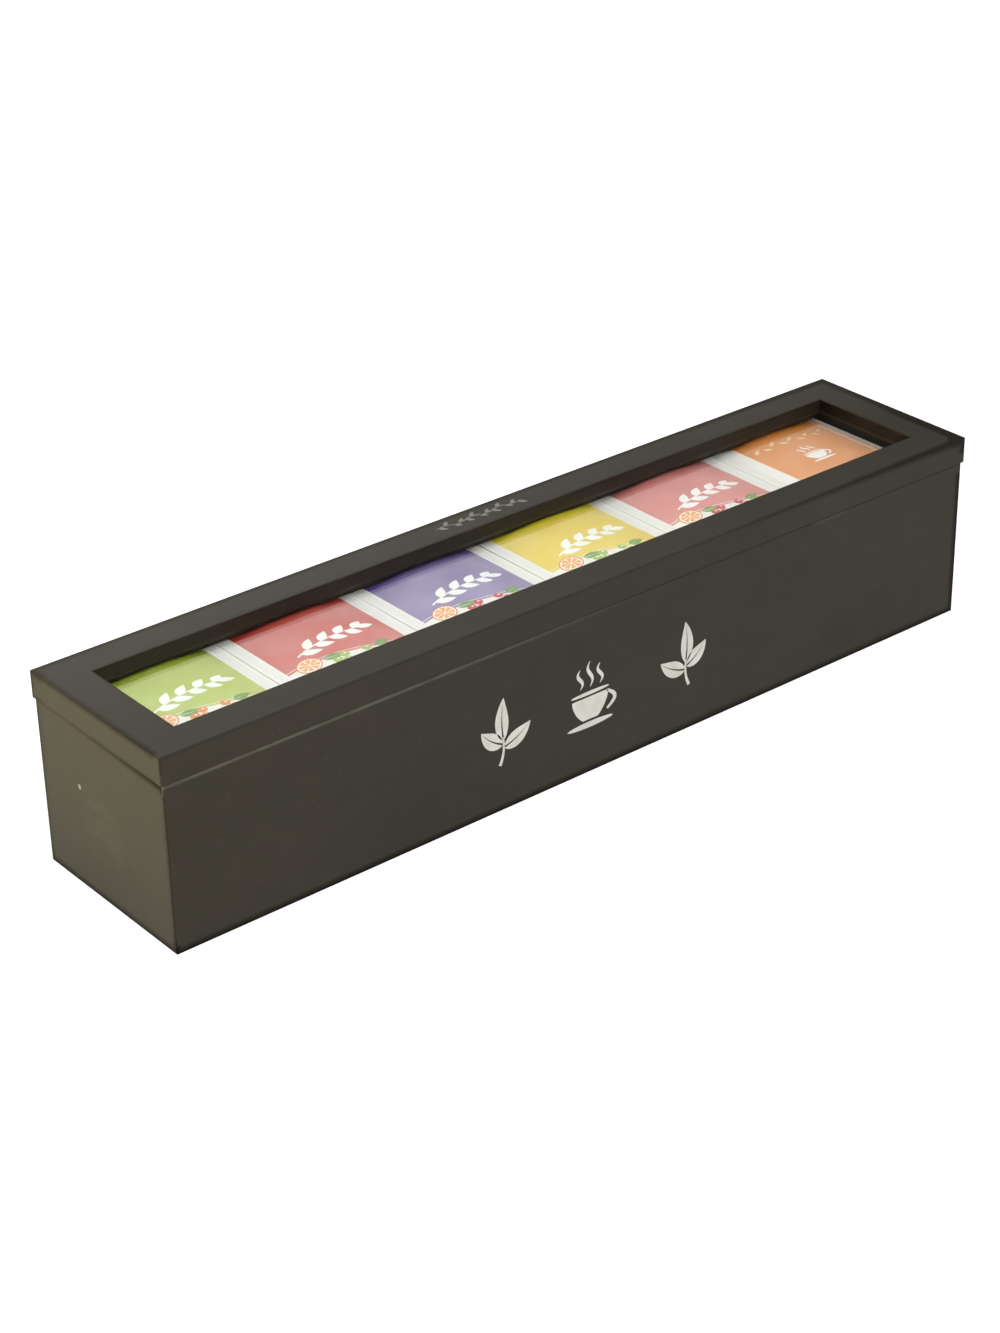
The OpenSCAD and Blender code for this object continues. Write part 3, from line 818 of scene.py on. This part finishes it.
def crimp(u, sizes):
    """The ridges pressed into both papers where they are sealed, along the sides."""
    from_side = min(u, sizes["width"] - u)
    if from_side > border:
        return 0.0
    return crimp_rise * math.sin(math.tau * from_side / crimp_pitch) * min(1, 3 * from_side / crimp_pitch)


def envelope(bm, sizes, middle, turn, seed):
    """One sealed envelope, as two papers that meet at the cut edge.

    Gives the function that lays ink on it.
    """
    spot_layer = bm.verts.layers.float_vector["print_place"]
    placing = Matrix.Translation(middle) @ Matrix.Rotation(turn, 4, "Z")
    half_size = Vector((sizes["width"] / 2, sizes["length"] / 2, 0))

    def lay(u, v, rise=0.0, side=1):
        height = side * (puff(u, v, sizes, seed + 5 * side) + rise) + crimp(u, sizes)
        return placing @ (Vector((u, v, height)) - half_size)

    columns, rows = sizes["columns"], sizes["rows"]
    sheet = bmesh.ops.create_grid(bm, x_segments=columns, y_segments=rows, size=0.5)["verts"]
    faces = list({face for vert in sheet for face in vert.link_faces})
    copied = bmesh.ops.extrude_face_region(bm, geom=faces)["geom"]
    papers = {vert: -1 for vert in sheet}
    papers.update({item: 1 for item in copied if isinstance(item, bmesh.types.BMVert)})
    for vert, side in papers.items():
        u = spread(min(max(vert.co.x + 0.5, 0), 1), sizes["width"], sizes["border_share"])
        v = spread(min(max(vert.co.y + 0.5, 0), 1), sizes["length"], sizes["border_share"])
        vert.co = lay(u, v, side=side)
        vert[spot_layer] = (u / mm, v / mm, side)
    for vert in papers:
        for face in vert.link_faces:
            face.smooth = True
    return lay


def disc(bm, lay, middle, radius, ink, start=0.0, end=360.0, hole=0.0):
    """A round or a slice of one, as a stroke that runs round its middle."""

    def path(t):
        angle = math.radians(start + (end - start) * t)
        return (middle[0] + radius * math.cos(angle), middle[1] + radius * math.sin(angle))

    steps = max(3, int((end - start) / 15))
    return stroke(bm, lay, path, lambda t: 0.0, lambda t: radius - hole, steps, 2, ink)


def leafy_spray(bm, lay, root, length, count, size, ink):
    """A gently bowed stem with leaves in turn on both sides and one at the tip."""
    heading, bow = 20, -24
    path = arc_path(root, heading, length, bow)
    faces = line(bm, lay, path, lambda t: (0.9 - 0.5 * t) * mm, 24, ink)
    for number in range(count):
        t = (number + 0.6) / count
        side = 1 if number % 2 else -1
        angle = heading + bow * t + side * 48
        long, wide = size * (1 - 0.25 * t), size * 0.46
        faces |= leaf(bm, lay, path(t), angle, long, wide, -side * 22, ink=ink, steps=10)
    tip_leaf = leaf(bm, lay, path(1), heading + bow, size * 0.85, size * 0.42, ink=ink, steps=10)
    return faces | tip_leaf


def citrus(bm, lay, middle, radius, rind, pith, flesh):
    """A slice of citrus fruit: rind, pith and eight segments."""
    faces = disc(bm, lay(0.4), middle, radius, rind)
    faces |= disc(bm, lay(1.0), middle, radius * 0.88, pith)
    for number in range(8):
        start = 45 * number + 5
        faces |= disc(bm, lay(1.6), middle, radius * 0.78, flesh, start, start + 35, radius * 0.12)
    return faces


def cup_print(bm, lay):
    """A small steaming cup with a row of leaves behind it."""
    on_paper = lay(1)

    def on_cup_field(u, v):
        return on_paper(cup_print_place[0] * mm + u, cup_print_place[1] * mm + v)

    marks = steaming_cup(bm, on_cup_field, cup_print_size * mm, ink_number["white"])
    for number in range(9):
        root = ((13.5 + 4.9 * number) * mm, (59 + 0.8 * math.sin(number * 0.9)) * mm)
        angle = 35 - 70 * (number % 2)
        marks |= leaf(bm, on_paper, root, angle, 4.6 * mm, 1.9 * mm, ink=ink_number["pale"], steps=8)
    return marks


def fruit_print(bm, lay):
    """A white spray on the panel, and before it leaves, berries and a slice of citrus."""
    white = ink_number["white"]
    marks = leafy_spray(bm, lay(1), (16 * mm, 40 * mm), 33 * mm, 8, 9.2 * mm, white)
    for (u, v), angle, length, width, bend, vein, ink in fruit_leaves:
        shape = (angle, length * mm, width * mm, bend, vein * mm)
        marks |= leaf(bm, lay(0.7), (u * mm, v * mm), *shape, ink_number[ink])
    for u, v in berry_spots:
        marks |= disc(bm, lay(1.4), (u * mm, v * mm), 2.1 * mm, ink_number["berry"])
        marks |= disc(bm, lay(2.0), ((u + 0.6) * mm, (v + 0.7) * mm), 0.5 * mm, white)
    fruit = (ink_number["rind"], white, ink_number["flesh"])
    return marks | citrus(bm, lay, (15.5 * mm, 31.5 * mm), 5.4 * mm, *fruit)


inks = {
    "white": ink_paint("ink_white", ink_white, 0.06),
    "rind": ink_paint("ink_rind", orange_rind),
    "flesh": ink_paint("ink_flesh", orange_flesh),
    "green": ink_paint("ink_green", leaf_green),
    "light_green": ink_paint("ink_light_green", leaf_light),
    "pale": ink_paint("ink_pale", ink_pale),
}
ink_number = {ink: slot for slot, ink in enumerate(["paper", *inks, "berry"])}
luck = random.Random(11)
for number, (sort, looks) in enumerate(sorts.items()):
    from_middle = number - (len(sorts) - 1) / 2
    bm = bmesh.new()
    bm.verts.layers.float_vector.new("print_place")
    for layer in range(pressed_count):
        height = stack_low + stack_pitch * (layer + 0.5)
        middle = Vector((from_middle * compartment_pitch, 0, height))
        envelope(bm, pressed, middle, 0, number * 40 + layer)

    trim = orange_trim if sort == "orange" else 0
    sizes = dict(loose, width=loose["width"] - trim)
    middle = Vector((loose_shift + from_middle * loose_pitch - trim / 2, 0, loose_middle))
    turn = math.radians(luck.uniform(-loose_turn, loose_turn))
    lay_on = envelope(bm, sizes, middle, turn, number * 40 + 30)

    def lay(step):
        """Ink of one layer: each is laid a little higher than the last."""
        return lambda u, v: lay_on(u, v, print_rise * step)

    draw, panel = (cup_print, cup_panel) if sort == "orange" else (fruit_print, fruit_panel)
    thicken(bm, draw(bm, lay), Vector((0, 0, print_rise)))

    paper = printed_paper("paper_" + sort, looks["ink"], looks["deep_ink"], sizes["width"] / mm, **panel)
    berry = ink_paint("ink_berry_" + sort, looks["berry"])
    stack = make_piece("tea_envelopes_" + sort, bm, "box", paper, *inks.values(), berry)
    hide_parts("tea_sachets_" + sort)


# ---- Hinges ----
# Two small stop hinges of rolled brass sheet on steel pins, let into the back wall
# and the back rail. The metal is patchy with tarnish.
brass_bright = (0.60, 0.42, 0.16, 1)
brass_dull = (0.44, 0.30, 0.115, 1)

brass = metal("brass", brass_bright, brass_dull, (2600, 500, 500), 0.16)
dress(brass, "left_box_leaf", "right_box_leaf", "left_lid_leaf", "right_lid_leaf")


# ---- Lid frame ----
# Four fibreboard rails, mitred and glued, painted with the box. A lip holds the
# glass from above, and four beads, pinned from inside, hold it from below.
lid_low = Vector((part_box("lid_left_rail")[0].x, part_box("lid_front_rail")[0].y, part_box("lid_front_rail")[0].z))
lid_high = Vector((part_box("lid_right_rail")[1].x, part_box("lid_back_rail")[1].y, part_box("lid_back_rail")[1].z))
opening_low = Vector((-197 * mm, -28.55 * mm))
opening_high = Vector((197 * mm, 27.95 * mm))
opening_middle = (opening_low + opening_high) / 2
opening_half = (opening_high - opening_low) / 2
opening_line_in = 1.2 * mm
# A darker painted shade for the right rail's faces round the opening.
paint_darkest_shade = (0.0045, 0.0024, 0.0013, 1)
bead_shade_share = 0.1
# How much more or less painted shade the lid's arrises show.
front_shade_from = 60 * mm
front_shade_to = 200 * mm
front_shade_less = 1.5 * mm
front_shade_more = -1 * mm
lid_end_seam = 1 * mm
right_line_from = 206 * mm
right_line_full = 209 * mm
right_line_front = 4.8 * mm
right_line_back = 3 * mm
right_line_low_share = 0.2
back_line_from = 34 * mm
back_line_full = 39 * mm
back_line_left = 0.9 * mm
back_line_right = 3 * mm
# Painted sheen on the top of the lid, in the pale colour.
sheen_back = 0.12
sheen_less_right = 0.035


def beyond_opening(tree, x, y):
    """How far a point is outside the opening, seen from above, and below 0 within it."""
    beyond = [
        maths(tree, "SUBTRACT", off(tree, part, middle), half)
        for part, middle, half in zip((x, y), opening_middle, opening_half)
    ]
    return maths(tree, "MAXIMUM", *beyond)


def lid_arris_distance(tree, place):
    """Distance to the nearest outer edge of the lid, or to the top edge of its opening, for the painted shade along
    the arrises.

    The front edge gets nearer towards its right end. The top edges of the right end and of the back's right half
    count as nearer, and show more painted shade.
    """
    x, y, z = parts_of(tree, place)
    outer = arris_distance(tree, place, lid_low, lid_high)
    on_front = ramp(tree, y, lid_low.y + 4 * mm, lid_low.y + 3 * mm)
    front_line = ramp(tree, x, front_shade_from, front_shade_to, front_shade_less, front_shade_more)
    outer = maths(tree, "ADD", outer, product(tree, on_front, front_line))
    outer = maths(tree, "ADD", outer, seam_cover(tree, y, z, lid_low.z, lid_end_seam))

    at_right = product(
        tree, ramp(tree, y, -10 * mm, 10 * mm, right_line_front, right_line_back),
        ramp(tree, x, right_line_from, right_line_full),
        on_face(tree, z, lid_high.z, right_line_low_share),
    )
    at_back = product(
        tree, ramp(tree, x, 100 * mm, 200 * mm, back_line_left, back_line_right),
        ramp(tree, y, back_line_from, back_line_full),
    )
    outer = maths(tree, "SUBTRACT", outer, maths(tree, "MAXIMUM", at_right, at_back))

    from_opening = maths(tree, "ABSOLUTE", beyond_opening(tree, x, y))
    inner = maths(tree, "MAXIMUM", from_opening, maths(tree, "SUBTRACT", lid_high.z, z))
    inner = maths(tree, "ADD", inner, opening_line_in)
    return maths(tree, "MINIMUM", maths(tree, "MAXIMUM", outer, 0), inner)


def opening_shade(tree, place):
    """1 on the upright faces round the opening, which get the darker, browner inner colour: painted shade, with
    faint stripes.
    """
    x, y, z = parts_of(tree, place)
    inside = ramp(tree, beyond_opening(tree, x, y), 0.15 * mm, 0.05 * mm)
    below_top = ramp(tree, z, lid_high.z - 0.2 * mm, lid_high.z - 0.4 * mm)
    shade_stripes = cloudy(tree, stretched(tree, place, (9, 9, 1100)), detail=2)
    return product(tree, inside, below_top, ramp(tree, shade_stripes, 0.42, 0.58, 0.84, 1))


def lid_sheen(tree, place):
    """A painted sheen on the top of the lid, strongest along the back and on the left."""
    x, y, z = parts_of(tree, place)
    towards_back = ramp(tree, y, -40 * mm, 45 * mm, 0, sheen_back)
    less_right = ramp(tree, x, -150 * mm, 50 * mm, 0, sheen_less_right)
    # The share of the painted sheen.
    dust = maths(tree, "MAXIMUM", maths(tree, "SUBTRACT", towards_back, less_right), 0)
    uneven_sheen = ramp(tree, cloudy(tree, place, scale=60, detail=4, roughness=0.65), 0.2, 0.8, 0.8, 1.2)
    return product(tree, dust, on_face(tree, z, lid_high.z), uneven_sheen)


lid_look = dict(nearest_arris=lid_arris_distance, pale_share=lid_sheen, shade_share=opening_shade)
lid_paint = satin_paint("lid_paint", **lid_look)
dress(lid_paint, "lid_front_rail", "lid_back_rail", "lid_left_rail")
# The right rail gets a darker painted shade on its faces round the opening.
lid_end_shade_paint = satin_paint("lid_end_shade_paint", inner=paint_darkest_shade, **lid_look)
dress(lid_end_shade_paint, "lid_right_rail")
# The beads get a little of the painted shade.
bead_paint = satin_paint(
    "bead_paint", lid_arris_distance, shade_share=lambda tree, place: bead_shade_share
)
dress(bead_paint, "front_bead", "back_bead", "left_bead", "right_bead", "bead_pins")


# ---- Glass ----
# A pane of clear 2 mm float glass with a faint green cast and a little dust near
# its edges. Lamps shine through it on to the sachets.
glass_tint = (0.985, 1.0, 0.990, 1)
glass_dusty = (0.950, 0.965, 0.950, 1)
glass_shade = (0.92, 0.93, 0.92, 1)
glass_bend = 1.45
pane_low, pane_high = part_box("glass_pane")

clear_glass, tree, shader = new_material("clear_glass")
place = object_place(tree)
insets = [
    maths(tree, "SUBTRACT", (high - low) / 2, off(tree, part, (low + high) / 2))
    for part, low, high in zip(parts_of(tree, place)[:2], pane_low, pane_high)
]
near_edge = ramp(tree, maths(tree, "MINIMUM", *insets), 14 * mm, 5 * mm)
dust = ramp(tree, cloudy(tree, place, scale=180, detail=4, roughness=0.7), 0.4, 0.8)
dusty = product(tree, near_edge, dust)
tree.links.new(tinted(tree, dusty, glass_tint, glass_dusty), shader.inputs["Base Color"])
raised(tree, shader, cloudy(tree, place, scale=9, detail=2), strength=0.05, distance=0.2 * mm)
shader.inputs["Transmission Weight"].default_value = 1
shader.inputs["Roughness"].default_value = 0
shader.inputs["IOR"].default_value = glass_bend
path = add_node(tree, "ShaderNodeLightPath").outputs
lamp_way = add_node(tree, "ShaderNodeBsdfTransparent", Color=glass_shade)
pane_mix = add_node(tree, "ShaderNodeMixShader", Fac=path["Is Shadow Ray"])
tree.links.new(shader.outputs[0], pane_mix.inputs[1])
tree.links.new(lamp_way.outputs[0], pane_mix.inputs[2])
tree.links.new(pane_mix.outputs[0], tree.nodes["Material Output"].inputs["Surface"])
dress(clear_glass, "glass_pane")


# ---- Lid decoration ----
# A small vine in the same cream, printed in the middle of the back rail, thinner
# and duller than the motifs on the front.
vine_left = -21 * mm
vine_length = 46 * mm
vine_middle = 37 * mm
vine_swing = 0.9 * mm
vine_waves = 3
vine_leaves = 13
vine_film = 0.04 * mm
vine_cream = (0.33, 0.315, 0.275, 1)

vine_paint, tree, shader = new_material("vine_paint")
thin = cloudy(tree, object_place(tree), scale=1100, detail=4, roughness=0.7)
tone = tinted(tree, ramp(tree, thin, 0.45, 0.65), vine_cream, paint_pale)
tree.links.new(tone, shader.inputs["Base Color"])
raised(tree, shader, thin, strength=0.2, distance=0.03 * mm)
shader.inputs["Roughness"].default_value = 0.55


def on_back_rail(u, v):
    return Vector((vine_left + u, vine_middle + v, lid_high.z - film_sunk))


def vine_path(t):
    return (vine_length * t, vine_swing * math.sin(t * math.tau * vine_waves))


bm = bmesh.new()
faces = line(bm, on_back_rail, vine_path, lambda t: (0.35 + 0.40 * math.sin(math.pi * t)) * mm, 60)
for number in range(vine_leaves):
    t = (number + 0.5) / vine_leaves
    side = 1 if number % 2 else -1
    faces |= leaf(bm, on_back_rail, vine_path(t), side * 52, 4.2 * mm, 2.0 * mm, -side * 16, steps=8)
thicken(bm, faces, Vector((0, 0, vine_film)))
make_piece("lid_vine", bm, "lid", vine_paint)
